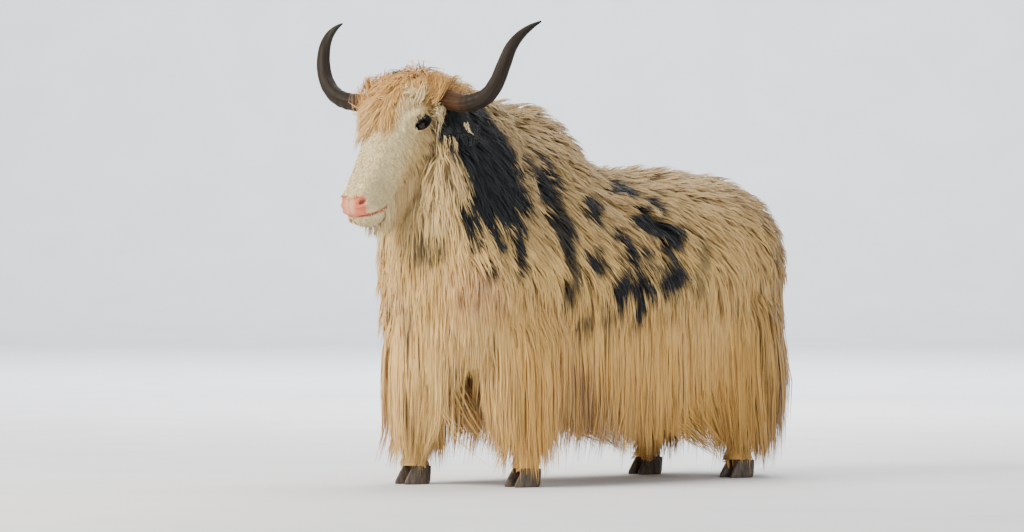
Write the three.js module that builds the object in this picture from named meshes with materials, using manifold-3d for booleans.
// A long-haired yak as a still, life-size model, standing square with its right forefoot ahead.
// Millimetres, +Z up. It faces -Y, its left side is at +X, and its hooves stand on z = 0.
// Each body part is a loft, a section carried along a path, and its coat is made of flat, tapered locks.

import * as THREE from "three";
import { mergeVertices } from "three/addons/utils/BufferGeometryUtils.js";
import Module from "manifold-3d";

const wasm = await Module();
wasm.setup();

// Driving dimensions
const HUMP_TOP = 1318; // floor to the top of the hump under its hair
const BACK_TOP = 1080; // floor to the hollow of the back
const BELLY_LOW = 455; // floor to the underside of the barrel
const BARREL_HALF = 322; // half the width of the barrel
const CHEST_FRONT = -770; // the front of the chest along Y
const RUMP_END = 750; // the rear of the haunches along Y
const HEAD_LENGTH = 508; // poll to nose along the face
const HEAD_TILT = 59; // degrees of the face below level
const HEAD_TURN = 10; // degrees that the head turns to its left
const HEAD_ROLL = 1.8; // degrees that the head's right side is up
const POLL = { y: -838, z: 1385 }; // top of the forehead between the horns
const EYE_RADIUS = 20;
const HOOF_HEIGHT = 62;
const GAP = 0.3; // kept between pieces that touch
const ROOT = 16; // how deep a lock's root is sunk

const up = new THREE.Vector3(0, 0, 1);
const radians = THREE.MathUtils.degToRad;
const clamp = THREE.MathUtils.clamp;
const v3 = (x, y, z) => new THREE.Vector3(x, y, z);
const steps = (low, high, count) =>
  Array.from({ length: count }, (_, i) => low + ((high - low) * i) / Math.max(count - 1, 1));

// A seeded draw, so that the coat is the same each time
const DRAW_FACTOR = 16807;
const DRAW_LIMIT = 2147483647;
let seed = 20;
function draw(low, high) {
  seed = (seed * DRAW_FACTOR) % DRAW_LIMIT;
  return low + ((high - low) * seed) / DRAW_LIMIT;
}

// A smooth curve through named stations: rows are objects with a place t and other sizes
function stationAt(rows, t) {
  const last = rows.length - 1;
  let i = 0;
  while (i < last - 1 && t > rows[i + 1].t) i++;
  const [a, b] = [rows[i], rows[i + 1]];
  const [before, after] = [rows[Math.max(i - 1, 0)], rows[Math.min(i + 2, last)]];
  const span = b.t - a.t;
  const s = clamp((t - a.t) / span, 0, 1);
  const made = {};
  for (const key of Object.keys(a)) {
    const slopeA = ((b[key] - before[key]) / (b.t - before.t || span)) * span;
    const slopeB = ((after[key] - a[key]) / (after.t - a.t || span)) * span;
    const rise = b[key] - a[key];
    const bend = slopeA * (1 - s) * (1 - s) * s - slopeB * s * s * (1 - s);
    made[key] = a[key] + rise * s * s * (3 - 2 * s) + bend;
  }
  return made;
}

// A closed geometry from rings of points, with a point at each end
function skinOf(rings, startPoint, endPoint) {
  const sides = rings[0].length;
  const positions = [startPoint, ...rings.flat(), endPoint].flatMap((p) => [p.x, p.y, p.z]);
  const faces = [];
  const at = (i, j) => 1 + i * sides + (j % sides);
  const end = 1 + rings.length * sides;
  for (let j = 0; j < sides; j++) {
    faces.push(0, at(0, j + 1), at(0, j));
    faces.push(end, at(rings.length - 1, j), at(rings.length - 1, j + 1));
  }
  for (let i = 0; i + 1 < rings.length; i++)
    for (let j = 0; j < sides; j++) {
      faces.push(at(i, j), at(i, j + 1), at(i + 1, j + 1));
      faces.push(at(i, j), at(i + 1, j + 1), at(i + 1, j));
    }
  return new THREE.BufferGeometry()
    .setAttribute("position", new THREE.Float32BufferAttribute(positions, 3))
    .setIndex(faces);
}

// A geometry as a solid that can be joined and cut, turned right side out if need be
function solidOf(geometry) {
  const bare = geometry.clone();
  bare.deleteAttribute("normal");
  bare.deleteAttribute("uv");
  const merged = mergeVertices(bare, 1e-3);
  const triVerts = new Uint32Array(merged.index.array);
  const vertProperties = merged.attributes.position.array;
  const build = () => new wasm.Manifold(new wasm.Mesh({ numProp: 3, vertProperties, triVerts }));
  const made = build();
  if (made.volume() > 0) return made;
  for (let i = 0; i < triVerts.length; i += 3)
    [triVerts[i + 1], triVerts[i + 2]] = [triVerts[i + 2], triVerts[i + 1]];
  return build();
}

const join = (solids) => wasm.Manifold.union(solids);

// The largest closed surface of a solid, which drops loose scraps
const largest = (solid) => solid.decompose().sort((a, b) => b.volume() - a.volume())[0];

const middleOf = (ring) =>
  ring.reduce((sum, p) => sum.add(p), v3(0, 0, 0)).multiplyScalar(1 / ring.length);

// A ring moved outwards from the next one, along the line between their middles
function movedOut(ring, next, far) {
  const out = middleOf(ring).sub(middleOf(next)).setLength(far);
  return ring.map((p) => p.clone().add(out));
}

// A surface is a function of a place u along a part, an angle v round it and how far it is grown.
// A grown loft is also longer by as much at both ends.
function loftOf(surface, us, sides, grow = 0) {
  const around = Array.from({ length: sides }, (_, j) => (2 * Math.PI * j) / sides);
  const rings = us.map((u) => around.map((v) => surface(u, v, grow)));
  const last = rings.length - 1;
  if (grow) {
    rings.unshift(movedOut(rings[0], rings[1], grow));
    rings.push(movedOut(rings[last + 1], rings[last], grow));
  }
  return solidOf(skinOf(rings, middleOf(rings[0]), middleOf(rings[rings.length - 1])));
}

const signedPower = (value, power) => Math.sign(value) * Math.pow(Math.abs(value), power);

// Trunk: sections across Y. top and low are heights, wide is the height of the widest place,
// half the half width, and ridge how far the upper half narrows to a crest.
const TRUNK = [
  { t: CHEST_FRONT, top: 880, low: 660, wide: 770, half: 90, ridge: 1 },
  { t: -725, top: 1060, low: 565, wide: 760, half: 212, ridge: 1.05 },
  { t: -640, top: 1195, low: 510, wide: 745, half: 268, ridge: 1.2 },
  { t: -540, top: HUMP_TOP - 20, low: 480, wide: 730, half: 288, ridge: 1.4 },
  { t: -430, top: HUMP_TOP, low: 470, wide: 715, half: 297, ridge: 1.5 },
  { t: -320, top: HUMP_TOP - 4, low: 462, wide: 710, half: 305, ridge: 1.5 },
  { t: -245, top: 1286, low: BELLY_LOW, wide: 705, half: 310, ridge: 1.4 },
  { t: -180, top: 1196, low: BELLY_LOW, wide: 700, half: 315, ridge: 1.22 },
  { t: -110, top: 1110, low: BELLY_LOW, wide: 700, half: 319, ridge: 1.1 },
  { t: 0, top: BACK_TOP, low: BELLY_LOW, wide: 700, half: BARREL_HALF, ridge: 1.02 },
  { t: 200, top: BACK_TOP + 4, low: BELLY_LOW + 10, wide: 712, half: BARREL_HALF, ridge: 1 },
  { t: 390, top: 1066, low: 490, wide: 745, half: 312, ridge: 1 },
  { t: 530, top: 1056, low: 530, wide: 775, half: 294, ridge: 1 },
  { t: 630, top: 1010, low: 575, wide: 780, half: 256, ridge: 1 },
  { t: 705, top: 920, low: 640, wide: 770, half: 180, ridge: 1 },
  { t: RUMP_END, top: 830, low: 705, wide: 760, half: 70, ridge: 1 },
];
const BELLY_FULLNESS = 0.82; // below 1 squares the belly a little

function trunk(y, a, grow = 0) {
  const s = stationAt(TRUNK, y);
  const cosine = Math.cos(a);
  const reach = cosine > 0 ? s.top - s.wide : s.wide - s.low;
  const x = signedPower(Math.sin(a), cosine > 0 ? s.ridge : BELLY_FULLNESS) * (s.half + grow);
  return v3(x, y, s.wide + cosine * (reach + grow));
}

// Neck: sections from the shoulders to the head, each between a place on the crest and one on the throat
const NECK = [
  { t: 0, crestY: -430, crestZ: 1285, throatY: -690, throatZ: 580, half: 255 },
  { t: 0.25, crestY: -520, crestZ: 1322, throatY: -778, throatZ: 690, half: 230 },
  { t: 0.5, crestY: -600, crestZ: 1364, throatY: -800, throatZ: 820, half: 192 },
  { t: 0.75, crestY: -672, crestZ: 1402, throatY: -790, throatZ: 940, half: 140 },
  { t: 1, crestY: -745, crestZ: 1424, throatY: -760, throatZ: 1050, half: 100 },
];
const NECK_TAPER = 0.18; // how much narrower the crest is than the throat

function neck(t, a, grow = 0) {
  const s = stationAt(NECK, t);
  const middle = v3(0, (s.crestY + s.throatY) / 2, (s.crestZ + s.throatZ) / 2);
  const toCrest = v3(0, s.crestY, s.crestZ).sub(middle);
  const depth = toCrest.length();
  const x = Math.sin(a) * (s.half + grow) * (1 - NECK_TAPER * Math.cos(a));
  return middle.addScaledVector(toCrest, (Math.cos(a) * (depth + grow)) / depth).add(v3(x, 0, 0));
}

// The parting plane of neck and torso runs from the withers down and forward to the brisket
const NECK_PLANE = { point: v3(0, -490, 1290), normal: v3(0, -0.88, 0.475).normalize() };
const BIG = 4000;

function beyondPlane(plane, side) {
  const box = new THREE.BoxGeometry(BIG, BIG, BIG);
  box.translate(0, 0, BIG / 2 + GAP / 2);
  const aim = plane.normal.clone().multiplyScalar(side);
  box.applyQuaternion(new THREE.Quaternion().setFromUnitVectors(up, aim));
  box.translate(plane.point.x, plane.point.y, plane.point.z);
  return solidOf(box);
}

// Head frame: from the poll, s runs down the face to the nose, h stands out of the face, c is to the left
const turn = new THREE.Quaternion().setFromAxisAngle(up, radians(HEAD_TURN));
const roll = new THREE.Quaternion().setFromAxisAngle(v3(0, 1, 0), radians(HEAD_ROLL));
const headPose = turn.clone().multiply(roll);
const tilt = radians(HEAD_TILT);
const alongFace = v3(0, -Math.cos(tilt), -Math.sin(tilt)).applyQuaternion(headPose);
const outOfFace = v3(0, -Math.sin(tilt), Math.cos(tilt)).applyQuaternion(headPose);
const leftOfHead = v3(1, 0, 0).applyQuaternion(headPose);

function inHead(c, s, h) {
  return v3(0, POLL.y, POLL.z)
    .addScaledVector(leftOfHead, c)
    .addScaledVector(alongFace, s)
    .addScaledVector(outOfFace, h);
}

// Head: sections across the face. over is the face line above the straight from poll to nose,
// deep the depth to the jaw, half the half width, jaw how wide the lower half is against the upper.
const HEAD = [
  { t: -50, over: -84, deep: 100, half: 62, jaw: 0.95 },
  { t: -26, over: -32, deep: 180, half: 102, jaw: 0.9 },
  { t: 25, over: 2, deep: 250, half: 124, jaw: 0.8 },
  { t: 85, over: 13, deep: 276, half: 128, jaw: 0.76 },
  { t: 140, over: 12, deep: 280, half: 122, jaw: 0.76 },
  { t: 200, over: 5, deep: 258, half: 102, jaw: 0.8 },
  { t: 265, over: 0, deep: 218, half: 84, jaw: 0.82 },
  { t: 335, over: -3, deep: 186, half: 73, jaw: 0.86 },
  { t: 395, over: -4, deep: 170, half: 67, jaw: 0.9 },
  { t: 445, over: -5, deep: 156, half: 66, jaw: 0.9 },
  { t: 480, over: -12, deep: 134, half: 62, jaw: 0.88 },
  { t: 500, over: -26, deep: 98, half: 50, jaw: 0.85 },
  { t: HEAD_LENGTH, over: -44, deep: 48, half: 28, jaw: 0.8 },
];
const HEAD_SQUARENESS = 0.84; // below 1 squares a section

function head(s, a, grow = 0) {
  const at = stationAt(HEAD, s);
  const cosine = Math.cos(a);
  const narrow = cosine < 0 ? 1 + (at.jaw - 1) * -cosine : 1;
  const c = signedPower(Math.sin(a), HEAD_SQUARENESS) * (at.half + grow) * narrow;
  return inHead(c, s, at.over - at.deep / 2 + signedPower(cosine, HEAD_SQUARENESS) * (at.deep / 2 + grow));
}

// A limb has rows with the height t, the middle x and y, and its half width and half length there
const limbSurface = (rows) => (t, a, grow = 0) => {
  const s = stationAt(rows, t);
  return v3(s.x + Math.sin(a) * (s.rx + grow), s.y - Math.cos(a) * (s.ry + grow), t);
};

// Legs: heights from the hoof up
const FORE = [
  { t: HOOF_HEIGHT, x: 0, y: -8, rx: 44, ry: 48 },
  { t: 115, x: 0, y: 4, rx: 42, ry: 44 },
  { t: 180, x: 0, y: 8, rx: 34, ry: 38 },
  { t: 330, x: 0, y: 0, rx: 48, ry: 50 },
  { t: 470, x: 0, y: 10, rx: 60, ry: 74 },
  { t: 640, x: -12, y: 30, rx: 68, ry: 96 },
];
const HIND = [
  { t: HOOF_HEIGHT, x: 0, y: -12, rx: 44, ry: 48 },
  { t: 115, x: 0, y: 6, rx: 42, ry: 44 },
  { t: 200, x: 0, y: 24, rx: 35, ry: 42 },
  { t: 380, x: 0, y: 58, rx: 46, ry: 60 },
  { t: 500, x: 0, y: 22, rx: 62, ry: 86 },
  { t: 680, x: -20, y: -30, rx: 76, ry: 120 },
];
const LEGS = [
  { name: "front_left", rows: FORE, x: 195, y: -450 },
  { name: "front_right", rows: FORE, x: -190, y: -625 },
  { name: "hind_left", rows: HIND, x: 188, y: 535 },
  { name: "hind_right", rows: HIND, x: -188, y: 430 },
];

// Where a leg stands: its rows lean in towards the body as they go up
const legSurface = (leg) =>
  limbSurface(leg.rows.map((r) => ({ ...r, x: leg.x + Math.sign(leg.x) * r.x, y: leg.y + r.y })));

// A claw, half of a cloven hoof: a slanting toe on a flat sole. side is 1 for the left claw.
const CLAW = { half: 24, back: 42, front: 62, lean: 20, apart: 3, waist: 0.25, from: -8 };
const CLAW_SIDES = 9;
const CLAW_RINGS = [
  { up: 0, size: 1 },
  { up: 0.2, size: 1.02 },
  { up: 0.7, size: 0.86 },
  { up: 1, size: 0.74 },
];

function claw(leg, side) {
  const middleX = leg.x + side * (CLAW.half + CLAW.apart);
  const high = HOOF_HEIGHT - GAP;
  const ringAt = (r) =>
    Array.from({ length: CLAW_SIDES }, (_, j) => {
      const a = (2 * Math.PI * j) / CLAW_SIDES;
      const ahead = Math.cos(a) > 0 ? CLAW.front : CLAW.back;
      const wide = CLAW.half * r.size * (1 - CLAW.waist * Math.max(Math.cos(a), 0));
      const y = leg.y + CLAW.from - Math.cos(a) * ahead * r.size + r.up * CLAW.lean;
      return v3(middleX + Math.sin(a) * wide, y, r.up * high);
    });
  const rings = CLAW_RINGS.map(ringAt);
  return solidOf(skinOf(rings, middleOf(rings[0]), middleOf(rings[rings.length - 1])));
}

// Horns: stations in the head's level frame, with side, ahead and height from the floor
const HORN = [
  { t: 0, side: 80, ahead: -6, z: 1318, r: 35 },
  { t: 1, side: 150, ahead: 0, z: 1313, r: 33.5 },
  { t: 2, side: 225, ahead: 8, z: 1302, r: 31.5 },
  { t: 3, side: 290, ahead: 22, z: 1306, r: 30 },
  { t: 4, side: 349, ahead: 24, z: 1328, r: 28.5 },
  { t: 5, side: 390, ahead: 24, z: 1372, r: 26.5 },
  { t: 6, side: 414, ahead: 18, z: 1430, r: 24.5 },
  { t: 7, side: 428, ahead: 0, z: 1488, r: 21 },
  { t: 8, side: 440, ahead: -32, z: 1530, r: 16 },
  { t: 9, side: 450, ahead: -74, z: 1560, r: 10 },
  { t: 10, side: 457, ahead: -116, z: 1580, r: 3 },
];
const HORN_AXIS = { y: -775, z: 1318 };
const HORN_SIDES = 10;

function hornPlace(t, side) {
  const s = stationAt(HORN, t);
  return v3(side * s.side, -s.ahead, s.z - HORN_AXIS.z)
    .applyQuaternion(headPose)
    .add(v3(0, HORN_AXIS.y, HORN_AXIS.z));
}

function horn(side, grow = 0) {
  const nearby = 0.05;
  const ringAt = (t, a, more) => {
    const along = hornPlace(t + nearby, side).sub(hornPlace(t - nearby, side)).normalize();
    const across = v3(0, 1, 0).cross(along).normalize();
    const other = along.clone().cross(across);
    const r = stationAt(HORN, t).r + more;
    return hornPlace(t, side)
      .addScaledVector(across, Math.cos(a) * r)
      .addScaledVector(other, Math.sin(a) * r);
  };
  return loftOf(ringAt, steps(0, 10, 14), HORN_SIDES, grow);
}

// Ears: a leaf that is cupped forwards, from the head out to the side, back and down
const EAR = { length: 200, sunk: 30, half: 46, thick: 8, cup: 24, c: 104, s: 62, h: -118, sides: 12 };
const EAR_ROOT = 0.42; // the leaf's width at its root, against its half width
const EAR_SWELL = 0.95; // how much wider it grows
const EAR_TAPER = 0.35; // how much of that the tip loses

// Its root, the way it points, and the way its hollow looks
function earAims(side) {
  return {
    root: inHead(side * EAR.c, EAR.s, EAR.h),
    out: v3(side * 0.88, 0.26, -0.38).applyQuaternion(headPose).normalize(),
    face: v3(side * 0.6, -0.8, -0.1).applyQuaternion(headPose).normalize(),
  };
}

function ear(side, grow = 0) {
  const { root, out, face } = earAims(side);
  const across = out.clone().cross(face).normalize();
  const hollow = across.clone().cross(out).normalize();
  const place = (along) => root.clone().addScaledVector(out, along - EAR.sunk);
  const ringAt = (t) => {
    const leaf = EAR_ROOT + EAR_SWELL * Math.sin(0.93 * Math.PI * Math.pow(t, 0.75));
    const wide = EAR.half * leaf * (1 - EAR_TAPER * t) + grow;
    return Array.from({ length: EAR.sides }, (_, j) => {
      const a = (2 * Math.PI * j) / EAR.sides;
      const w = Math.cos(a) * wide;
      const cup = (EAR.cup * w * w) / (EAR.half * EAR.half);
      const h = Math.sin(a) * (EAR.thick * (1.15 - t) + grow) + cup;
      return place(t * EAR.length).addScaledVector(across, w).addScaledVector(hollow, h);
    });
  };
  return solidOf(skinOf(steps(0, 0.96, 9).map(ringAt), place(0), place(EAR.length + grow)));
}

// The mane stays out of a round room about the ear's outer half
const EAR_ROOM = 82;

function earRoom(side) {
  const { root, out, face } = earAims(side);
  const middle = root.addScaledVector(out, EAR.length * 0.55).addScaledVector(face, EAR_ROOM * 0.4);
  const ball = new THREE.SphereGeometry(EAR_ROOM, 10, 6);
  ball.translate(middle.x, middle.y, middle.z);
  return solidOf(ball);
}

// Eyeballs sit in the side of the head
const EYE = { c: 104, s: 136, h: -80 };

function eyeball(side, grow) {
  const ball = new THREE.SphereGeometry(EYE_RADIUS + grow, 12, 8);
  const place = inHead(side * EYE.c, EYE.s, EYE.h);
  ball.translate(place.x, place.y, place.z);
  return solidOf(ball);
}

// Tail: a brush that hangs from the croup
const TAIL = [
  { t: 330, x: 0, y: 800, rx: 24, ry: 20 },
  { t: 460, x: 0, y: 802, rx: 34, ry: 26 },
  { t: 650, x: 0, y: 798, rx: 36, ry: 28 },
  { t: 820, x: 0, y: 786, rx: 30, ry: 26 },
  { t: 930, x: 0, y: 742, rx: 26, ry: 28 },
  { t: 985, x: 0, y: 680, rx: 22, ry: 26 },
];

// Coat. A path lies on a surface from its root along an aim, and hangs straight down once the surface
// turns under. rise is how far out of the body the tips stand.
const HANG = -0.12; // the slope of the surface at which hair leaves it and hangs

function outwardAt(surface, u, v, du, dv) {
  const alongU = surface(u + du, v).sub(surface(u - du, v));
  const alongV = surface(u, v + dv).sub(surface(u, v - dv));
  const normal = alongU.clone().cross(alongV).normalize();
  const grown = surface(u, v, 10).sub(surface(u, v, 0));
  if (grown.dot(normal) < 0) normal.negate();
  return { normal, alongU: alongU.divideScalar(2 * du), alongV: alongV.divideScalar(2 * dv) };
}

// The step in u and v that moves a point on the surface along the aim
function stepOn(frame, aim, far) {
  const flat = aim.clone().addScaledVector(frame.normal, -aim.dot(frame.normal)).setLength(far);
  const [uu, uv, vv] = [
    frame.alongU.lengthSq(),
    frame.alongU.dot(frame.alongV),
    frame.alongV.lengthSq(),
  ];
  const [fu, fv] = [flat.dot(frame.alongU), flat.dot(frame.alongV)];
  const whole = uu * vv - uv * uv;
  return { du: (fu * vv - fv * uv) / whole, dv: (fv * uu - fu * uv) / whole };
}

// A long lock has a bend more than a short one: places along it, and its width there
const EARLY_RISE = 0.5; // the share of the rise that comes just past the root
const LONG = 280;
const LONG_PLACES = [0, 0.14, 0.46, 0.8, 1];
const LONG_SHAPE = [0.75, 1, 1, 0.62];
const SHORT_PLACES = [0, 0.4, 0.78, 1];
const SHORT_SHAPE = [0.8, 1, 0.66];

const FINE = 0.01; // the step that finds slopes, as a share of a surface's reach along u

function layOn(part, u, v, size) {
  const { surface, reach, low, high } = part;
  const places = size.length > LONG ? LONG_PLACES : SHORT_PLACES;
  const path = [];
  let hanging = null;
  let frame = outwardAt(surface, u, v, reach * FINE, FINE);
  for (let i = 0; i < places.length; i++) {
    const far = i ? (places[i] - places[i - 1]) * size.length : 0;
    const rise = size.rise * (EARLY_RISE + (1 - EARLY_RISE) * places[i]);
    if (i && !hanging) {
      const { du, dv } = stepOn(frame, size.aim, far);
      u = clamp(u + du, low, high);
      v += dv;
      frame = outwardAt(surface, u, v, reach * FINE, FINE);
    }
    if (hanging) {
      const sway = size.sway * Math.sin(2.2 * i + size.phase);
      hanging = hanging.clone().add(v3(0, sway, 0)).addScaledVector(size.fall, far);
      path.push({ point: hanging, normal: frame.normal });
    } else {
      const point = surface(u, v).addScaledVector(frame.normal, i ? rise : -ROOT);
      path.push({ point, normal: frame.normal.clone() });
      if (frame.normal.z < HANG) hanging = surface(u, v).addScaledVector(frame.normal, rise);
    }
  }
  return path;
}

// A lock: a flat three-sided blade along a path, wide at the middle, with a ridge outside and a sharp tip
function lock(part, u, v, size) {
  const path = layOn(part, u, v, size);
  const shares = path.length > SHORT_PLACES.length ? LONG_SHAPE : SHORT_SHAPE;
  const rings = shares.map((share, i) => {
    const along = path[i + 1].point.clone().sub(path[Math.max(i - 1, 0)].point).normalize();
    const normal = path[i].normal.clone().addScaledVector(along, -path[i].normal.dot(along)).normalize();
    const across = along.clone().cross(normal);
    const [half, thick] = [(size.wide / 2) * share, size.thick * share];
    const at = (w, h) => path[i].point.clone().addScaledVector(across, w).addScaledVector(normal, h);
    return [at(-half, 0), at(0, thick), at(half, 0)];
  });
  return solidOf(skinOf(rings, middleOf(rings[0]), path[path.length - 1].point));
}

// A clump: a rounded curl that stands half out of a surface
const CLUMP_SIDES = 5;

function clump(part, u, v, size) {
  const frame = outwardAt(part.surface, u, v, part.reach * FINE, FINE);
  const along = size.aim.clone().addScaledVector(frame.normal, -size.aim.dot(frame.normal)).normalize();
  const across = along.clone().cross(frame.normal);
  const root = part.surface(u, v);
  const ringAt = (share) => {
    const far = (share - 0.5) * size.length;
    const full = Math.sin(Math.PI * clamp(share, 0.1, 0.9));
    return Array.from({ length: CLUMP_SIDES }, (_, j) => {
      const a = (2 * Math.PI * j) / CLUMP_SIDES;
      const lift = Math.sin(a) * size.rise * full + size.rise * 0.3 * share;
      return root
        .clone()
        .addScaledVector(along, far)
        .addScaledVector(across, (Math.cos(a) * size.wide * full) / 2)
        .addScaledVector(frame.normal, lift);
    });
  };
  const rings = [0.14, 0.5, 0.86].map(ringAt);
  const end = root.clone().addScaledVector(along, size.length / 2);
  const start = root.clone().addScaledVector(along, -size.length / 2);
  return solidOf(skinOf(rings, start, end.addScaledVector(frame.normal, size.rise * 0.3)));
}

const TRUNK_PART = { surface: trunk, reach: 1500, low: CHEST_FRONT + 12, high: RUMP_END - 12 };
const NECK_PART = { surface: neck, reach: 1, low: 0.02, high: 0.98 };
const HEAD_PART = { surface: head, reach: 500, low: -40, high: HEAD_LENGTH - 8 };

const DOWN = v3(0, 0, -1);
const DOWN_AND_BACK = v3(0, 0.35, -1).normalize();

// One lock's sizes, varied a little from its tier's
function varied(tier, aim) {
  const more = draw(0.88, 1.12);
  return {
    aim,
    fall: v3(draw(-0.03, 0.03), draw(-0.06, 0.06), -1).normalize(),
    length: tier.length * more,
    wide: tier.wide * draw(0.9, 1.12),
    thick: tier.thick,
    rise: tier.rise * draw(0.8, 1.15),
    sway: draw(4, 9),
    phase: draw(0, 6),
  };
}

// Tiers on the trunk, like shingles: each starts at an angle from the crest, and runs from a place
// near the neck to one on the rump
const TRUNK_TIERS = [
  { angle: 10, from: -440, to: 610, count: 7, length: 190, wide: 148, thick: 18, rise: 46, spread: 0.9 },
  { angle: 42, from: -585, to: 655, count: 8, length: 320, wide: 158, thick: 18, rise: 48, spread: 0 },
  { angle: 79, from: -700, to: 690, count: 9, length: 390, wide: 148, thick: 20, rise: 46, spread: 0 },
  { angle: 113, from: -705, to: 700, count: 10, length: 490, wide: 142, thick: 20, rise: 38, spread: 0 },
];

function trunkLocks() {
  const made = [];
  for (const side of [1, -1])
    TRUNK_TIERS.forEach((tier, k) => {
      const apart = (tier.to - tier.from) / (tier.count - 1);
      for (let i = 0; i < tier.count; i++) {
        const y = tier.from + apart * (i + (k % 2) * 0.5 - 0.25) + draw(-8, 8);
        const a = side * radians(tier.angle + draw(-4, 4));
        const aim = v3(side * tier.spread, 0.35, -1);
        made.push(lock(TRUNK_PART, y, a, varied(tier, aim)));
      }
    });
  return made;
}

// Curtains at both ends of the trunk, and the brisket's hair between the forelegs
const ENDS = [
  { y: -748, angles: [104, 134, 165, 195, 226, 256], length: 430, wide: 112, thick: 20, rise: 40 },
  { y: -640, angles: [168, 192], length: 320, wide: 92, thick: 20, rise: 10 },
  { y: -600, angles: [140], length: 400, wide: 96, thick: 20, rise: 22 },
  { y: 732, angles: [40, 78], length: 380, wide: 126, thick: 20, rise: 66 },
  { y: 724, angles: [110, 148], length: 590, wide: 126, thick: 20, rise: 76 },
];

function endLocks() {
  const made = [];
  for (const end of ENDS)
    for (const angle of end.angles) {
      made.push(lock(TRUNK_PART, end.y, radians(angle), varied(end, DOWN)));
      if (end.y > 0) made.push(lock(TRUNK_PART, end.y, -radians(angle), varied(end, DOWN)));
    }
  return made;
}

// Mane on the neck, in tiers from the crest to the throat
const NECK_TIERS = [
  { angle: 16, length: 200, wide: 112, thick: 18, rise: 38 },
  { angle: 52, length: 225, wide: 118, thick: 18, rise: 40 },
  { angle: 88, length: 235, wide: 118, thick: 18, rise: 42 },
  { angle: 124, length: 235, wide: 112, thick: 18, rise: 46 },
  { angle: 160, length: 220, wide: 100, thick: 18, rise: 48 },
];
const NECK_PLACES = [0.88, 0.5];

function neckLocks() {
  const made = [];
  for (const side of [1, -1])
    NECK_TIERS.forEach((tier, k) => {
      for (const t of NECK_PLACES) {
        const a = side * radians(tier.angle + draw(-4, 4));
        const place = clamp(t + (k % 2) * 0.1 - 0.05, 0.05, 0.95);
        made.push(lock(NECK_PART, place, a, varied(tier, DOWN_AND_BACK)));
      }
    });
  return made;
}

// Beard, along both sides of the jaw. Grown a little, it is the room that the mane leaves for it.
const BEARD = { length: 130, wide: 66, thick: 18, rise: 18 };
const BEARD_PLACES = [342, 382, 420];
const BEARD_ANGLE = 158; // degrees round the head, from the face to the jaw
const BEARD_LOCKS = [1, -1].flatMap((side) =>
  BEARD_PLACES.map((s) => ({ s, angle: side * radians(BEARD_ANGLE), size: varied(BEARD, DOWN) })),
);

function beard(grow) {
  return BEARD_LOCKS.map(({ s, angle, size }) => {
    const room = { wide: size.wide + 4 * grow, thick: size.thick + 4 * grow, length: size.length + 6 * grow };
    return lock(HEAD_PART, s, angle, { ...size, ...room, rise: size.rise - grow });
  });
}

const BEARD_GAP = 3;
const CURL_ROOM = 42; // the mane stays this far out of the head, to leave room for its curls

// Forelock: curls set close from the poll down over the forehead
const CURLS = [
  { s: -34, angles: [16, -16] },
  { s: -8, angles: [38, -38] },
  { s: 28, angles: [0, 50, -50] },
  { s: 68, angles: [26, -26, 72, -72] },
  { s: 108, angles: [0, 46, -46] },
  { s: 148, angles: [24, -24] },
  { s: 190, angles: [4] },
];

function forelock() {
  return CURLS.flatMap((row) =>
    row.angles.map((angle) => {
      const aim = alongFace.clone().addScaledVector(leftOfHead, draw(-0.8, 0.8));
      const size = { aim, length: draw(72, 88), wide: draw(60, 72), rise: draw(24, 32) };
      return clump(HEAD_PART, row.s + draw(-5, 5), radians(angle + draw(-4, 4)), size);
    }),
  );
}

// Hair round a leg, in two rings that leave out its outer side, which the trunk's hair covers
const LEG_RINGS = [
  { t: 470, angles: [-10, 180, 262], length: 260, wide: 84, thick: 18, rise: 18 },
  { t: 275, angles: [30, 150, 225], length: 185, wide: 74, thick: 16, rise: 16 },
];

function legLocks(leg) {
  const part = { surface: legSurface(leg), reach: 500, low: HOOF_HEIGHT + 10, high: 640 };
  const side = Math.sign(leg.x);
  return LEG_RINGS.flatMap((ring) =>
    ring.angles.map((angle) => lock(part, ring.t, side * radians(angle), varied(ring, DOWN))),
  );
}

// The room round a leg that the trunk's locks stay out of, narrower on the leg's outer side
const LEG_ROOM = { grow: 40, inwards: 20, low: 40, high: 660 };

function legRoom(leg) {
  const inwards = -Math.sign(leg.x) * LEG_ROOM.inwards;
  const surface = (t, a) => legSurface(leg)(t, a, LEG_ROOM.grow).add(v3(inwards, 0, 0));
  return loftOf(surface, steps(LEG_ROOM.low, LEG_ROOM.high, 6), 12);
}

// The room round the tail that the trunk's locks stay out of
const TAIL_ROOM = 40;

// The tail's brush: locks in rings down its length
const TAIL_RINGS = [
  { t: 800, angles: [0, 120, 240], length: 320, wide: 74, thick: 18, rise: 24 },
  { t: 540, angles: [60, 180, 300], length: 320, wide: 70, thick: 18, rise: 22 },
];

function tailLocks() {
  const part = { surface: limbSurface(TAIL), reach: 600, low: 335, high: 960 };
  return TAIL_RINGS.flatMap((ring) =>
    ring.angles.map((angle) => lock(part, ring.t, radians(angle), varied(ring, DOWN))),
  );
}

// Lids: a thick crescent over and one under each eye, carried along an arc round the eyeball
const LIDS = [
  { from: -15, to: 195, off: 12, thick: 8 },
  { from: 200, to: 340, off: 10, thick: 6 },
];
const LID_REACH = EYE_RADIUS + 4; // from the middle of the eyeball to the middle of a lid
const LID_HEIGHT = 0.82; // the opening's height against its length
const LID_LEAN = 0.35; // how far the opening looks forwards

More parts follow.
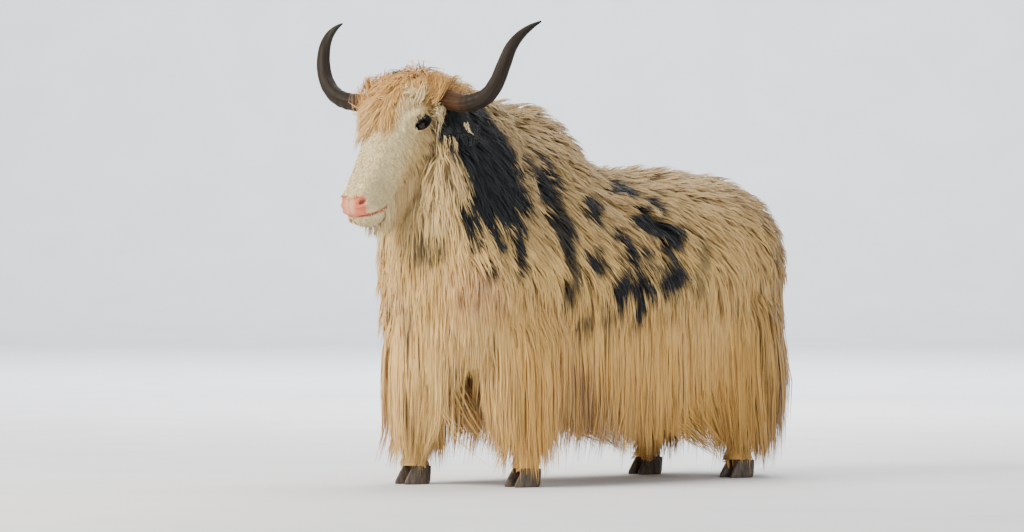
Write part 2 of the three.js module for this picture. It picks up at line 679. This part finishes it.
function lid(side, shape) {
  const centre = inHead(side * EYE.c, EYE.s, EYE.h);
  const outward = leftOfHead.clone().multiplyScalar(side).addScaledVector(outOfFace, LID_LEAN).normalize();
  const along = alongFace.clone().addScaledVector(outward, -alongFace.dot(outward)).normalize();
  const over = outward.clone().cross(along).multiplyScalar(side).normalize();
  const places = steps(radians(shape.from), radians(shape.to), 6);
  const rings = places.map((a, i) => {
    const share = Math.sin((Math.PI * (i + 0.35)) / (places.length - 0.3));
    const spoke = along.clone().multiplyScalar(Math.cos(a)).addScaledVector(over, Math.sin(a) * LID_HEIGHT);
    const middle = centre.clone().addScaledVector(spoke, LID_REACH).addScaledVector(outward, shape.off);
    return steps(0, 1.5 * Math.PI, 4).map((b) =>
      middle
        .clone()
        .addScaledVector(spoke, Math.cos(b) * shape.thick * share)
        .addScaledVector(outward, Math.sin(b) * shape.thick * share),
    );
  });
  return solidOf(skinOf(rings, middleOf(rings[0]), middleOf(rings[rings.length - 1])));
}

// Nostrils and the line of the mouth are cut into the muzzle
const NOSTRIL = { c: 42, s: 480, h: -33, length: 15, half: 7.5, deep: 14, slant: 38 };

function nostril(side) {
  const hole = new THREE.SphereGeometry(1, 8, 6);
  hole.scale(NOSTRIL.length, NOSTRIL.half, NOSTRIL.deep);
  hole.rotateZ(side * radians(NOSTRIL.slant));
  hole.applyMatrix4(new THREE.Matrix4().makeBasis(leftOfHead, outOfFace, alongFace.clone().negate()));
  const place = inHead(side * NOSTRIL.c, NOSTRIL.s, NOSTRIL.h);
  hole.translate(place.x, place.y, place.z);
  return solidOf(hole);
}

// The mouth: a wedge-shaped cut that runs round the muzzle from corner to corner, under the nose pad
const MOUTH = { corner: 424, tip: 502, h: -138, rise: 68, open: 3.5, side: 50, front: 44 };
const MOUTH_CUT = { inner: 0.75, outer: 1.3 }; // how far in and out it goes, against its half width
const MOUTH_REACH = 14; // how far the cut runs out past the lips at the front

function mouth() {
  const rings = steps(0, Math.PI, 9).map((a) => {
    const forward = Math.pow(Math.sin(a), 0.7);
    const c = Math.cos(a) * (MOUTH.side - (MOUTH.side - MOUTH.front) * Math.sin(a) * Math.sin(a));
    const s = MOUTH.corner + (MOUTH.tip - MOUTH.corner) * forward;
    const h = MOUTH.h + MOUTH.rise * forward;
    return [
      inHead(c * MOUTH_CUT.outer, s + MOUTH_REACH * forward, h + MOUTH.open),
      inHead(c * MOUTH_CUT.inner, s - MOUTH_REACH * forward, h),
      inHead(c * MOUTH_CUT.outer, s + MOUTH_REACH * forward, h - MOUTH.open),
    ];
  });
  return solidOf(skinOf(rings, middleOf(rings[0]), middleOf(rings[rings.length - 1])));
}

const colours = {
  coat: new THREE.MeshStandardMaterial({ color: 0xd9c9a6, roughness: 0.9 }),
  face: new THREE.MeshStandardMaterial({ color: 0xe2dac6, roughness: 0.85 }),
  dark: new THREE.MeshStandardMaterial({ color: 0x232326, roughness: 0.8 }),
  horn: new THREE.MeshStandardMaterial({ color: 0x4a3f38, roughness: 0.45 }),
  hoof: new THREE.MeshStandardMaterial({ color: 0x3a332c, roughness: 0.5 }),
  eye: new THREE.MeshStandardMaterial({ color: 0x120d0a, roughness: 0.08 }),
};

const yak = new THREE.Group();
yak.name = "yak";

function addNode(name, solid, material) {
  const mesh = largest(solid).getMesh();
  const geometry = new THREE.BufferGeometry()
    .setAttribute("position", new THREE.BufferAttribute(mesh.vertProperties.slice(), 3))
    .setIndex(new THREE.BufferAttribute(mesh.triVerts.slice(), 1));
  geometry.computeVertexNormals();
  const made = new THREE.Mesh(geometry, material);
  made.name = name;
  yak.add(made);
}

// Cores, each also grown by the gap, to cut what it meets
const trunkCore = (grow) => loftOf(trunk, steps(CHEST_FRONT, RUMP_END, 24), 20, grow);
const neckCore = (grow) => loftOf(neck, steps(0, 1, 7), 16, grow);
const headCore = (grow) => loftOf(head, steps(HEAD[0].t, HEAD_LENGTH, 22), 20, grow);
const legCore = (leg, grow) => loftOf(legSurface(leg), steps(HOOF_HEIGHT, 640, 9), 10, grow);
const tailCore = (grow) => loftOf(limbSurface(TAIL), steps(330, 985, 9), 8, grow);

const bothSides = (make) => join([1, -1].map(make));
const eyeSockets = bothSides((side) => eyeball(side, GAP));
const horns = bothSides((side) => horn(side, GAP));
const ears = bothSides((side) => ear(side, GAP));
const headCut = headCore(GAP);
const trunkCut = join([trunkCore(GAP), neckCore(GAP)]);
const legRooms = join(LEGS.map(legRoom));

const body = join([trunkCore(0), neckCore(0)]);
const tailRoom = tailCore(TAIL_ROOM);
const bodyHair = join([...trunkLocks(), ...endLocks(), ...neckLocks()]);
const headRooms = [headCore(CURL_ROOM), bothSides(earRoom), ...beard(BEARD_GAP)];
const hairRoom = join([legRooms, tailRoom, horns, ears, ...headRooms]);
const dressed = join([body.subtract(join([headCut, ears, horns])), bodyHair.subtract(hairRoom)]);
const lids = [1, -1].flatMap((side) => LIDS.map((shape) => lid(side, shape)));
const curls = join(forelock()).subtract(join([horns, ears, neckCore(2 * GAP)]));
const chinHair = join(beard(0)).subtract(neckCore(2 * GAP));

addNode("torso", dressed.intersect(beyondPlane(NECK_PLANE, -1)), colours.coat);
addNode("neck", dressed.intersect(beyondPlane(NECK_PLANE, 1)), colours.coat);
const faceCuts = join([eyeSockets, mouth(), bothSides(nostril)]);
addNode("head", join([headCore(0), curls, chinHair, ...lids]).subtract(faceCuts), colours.face);
addNode("tail", join([tailCore(0), ...tailLocks()]).subtract(trunkCut), colours.coat);
for (const [side, place] of [[1, "left"], [-1, "right"]]) {
  addNode("horn_" + place, horn(side).subtract(headCut), colours.horn);
  addNode("ear_" + place, ear(side).subtract(headCut).subtract(horns), colours.dark);
  addNode("eye_" + place, eyeball(side, 0), colours.eye);
}
for (const leg of LEGS) {
  addNode("leg_" + leg.name, join([legCore(leg, 0), ...legLocks(leg)]).subtract(trunkCut), colours.coat);
  for (const [side, place] of [[1, "left"], [-1, "right"]])
    addNode("claw_" + leg.name + "_" + place, claw(leg, side), colours.hoof);
}

// The origin is on the floor, under the middle of the whole box
const box = new THREE.Box3().setFromObject(yak);
yak.position.set(-(box.min.x + box.max.x) / 2, -(box.min.y + box.max.y) / 2, 0);

export default yak;
